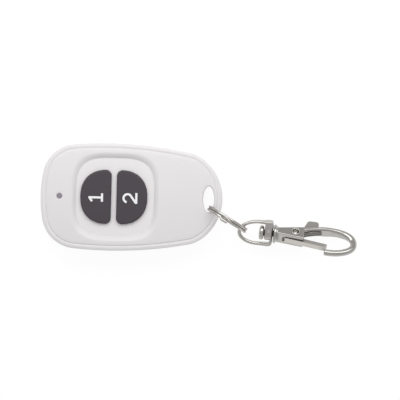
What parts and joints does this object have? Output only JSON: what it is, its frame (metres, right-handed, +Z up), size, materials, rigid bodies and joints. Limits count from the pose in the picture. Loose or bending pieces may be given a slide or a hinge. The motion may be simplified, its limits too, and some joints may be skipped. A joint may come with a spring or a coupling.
{
  "type": "key fob transmitter",
  "caption": "Oval hand-held radio remote with D-shaped push buttons in a square recess, a lamp, a key slot, a split ring and a swivelling snap hook.",
  "frame": {"origin": "middle of the fob's length, on the surface that the fob lies on", "axes": "+Z up out of the button face, +X along the fob from the lamp towards the key ring, +Y across it"},
  "size_m": [0.101, 0.0342, 0.0145],
  "materials": {
    "shell": "satin moulded ABS, off-white",
    "mat": "silicone, off-white",
    "button": "fine grained, dark grey",
    "lens": "smoked clear",
    "board": "green glass-fibre laminate",
    "lamp": "clear red",
    "chip": "moulded black",
    "ceramic_parts": "fired ceramic",
    "steel": "nickel-plated",
    "contact": "plated spring bronze",
    "ring_steel": "nickel-plated spring wire",
    "nickel": "nickel-plated zinc casting",
    "switch": "moulded black",
    "plunger": "moulded"
  },
  "bodies": {
    "fob": {"bottom_shell": "shell", "top_shell": "shell", "keypad_mat": "mat", "lamp_lens": "lens", "circuit_board": "board", "status_lamp": "lamp", "encoder_chip": "chip", "transmitter_can": "steel", "radio_transistor": "chip", "chip_resistors": "chip", "chip_capacitors": "ceramic_parts", "antenna_loop": "contact", "coin_cell": "steel", "cell_clip": "contact", "cell_spring": "contact", "case_screws": "steel", "switch_1": "switch", "switch_2": "switch"},
    "button_1": {"button_1": "button"},
    "button_2": {"button_2": "button"},
    "plunger_1": {"plunger_1": "plunger"},
    "plunger_2": {"plunger_2": "plunger"},
    "ring": {"split_ring": "ring_steel"},
    "bow": {"swivel_bow": "nickel"},
    "hook": {"hook_body": "nickel", "swivel_pin": "nickel", "trigger_rivet": "nickel", "trigger_spring": "ring_steel"},
    "trigger": {"trigger_lever": "nickel"}
  },
  "joints": [
    {"name": "button_1_press", "type": "slide", "parent": "fob", "child": "button_1", "axis": [0, 0, -1], "range_m": [0, 0.0004], "stiffness_N_per_m": 800, "springref_m": -0.0005},
    {"name": "plunger_1_press", "type": "slide", "parent": "fob", "child": "plunger_1", "axis": [0, 0, -1], "range_m": [0, 0.0004]},
    {"name": "button_2_press", "type": "slide", "parent": "fob", "child": "button_2", "axis": [0, 0, -1], "range_m": [0, 0.0004], "stiffness_N_per_m": 800, "springref_m": -0.0005},
    {"name": "plunger_2_press", "type": "slide", "parent": "fob", "child": "plunger_2", "axis": [0, 0, -1], "range_m": [0, 0.0004]},
    {"name": "ring_swing", "type": "hinge", "parent": "fob", "child": "ring", "pos_m": [0.02482, -0.00267, 0.00725], "axis": [0, 0, 1], "range_deg": [-30, 30]},
    {"name": "bow_lift", "type": "hinge", "parent": "ring", "child": "bow", "pos_m": [0.03473, -0.00948, 0.0053], "axis": [-0.0924, -0.9957, 0], "range_deg": [-60, 60]},
    {"name": "hook_swivel", "type": "hinge", "parent": "bow", "child": "hook", "pos_m": [0.03473, -0.00948, 0.0053], "axis": [0.9957, -0.0924, 0], "continuous": true},
    {"name": "trigger_pull", "type": "hinge", "parent": "hook", "child": "trigger", "pos_m": [0.05255, -0.01113, 0.0053], "axis": [0.0594, 0.64, 0.766], "range_deg": [0, 20], "stiffness_Nm_per_rad": 0.04, "springref_deg": -34.38}
  ],
  "couplings": [
    {"joint": "plunger_1_press", "follows": "button_1_press", "ratio": 1},
    {"joint": "plunger_2_press", "follows": "button_2_press", "ratio": 1}
  ]
}
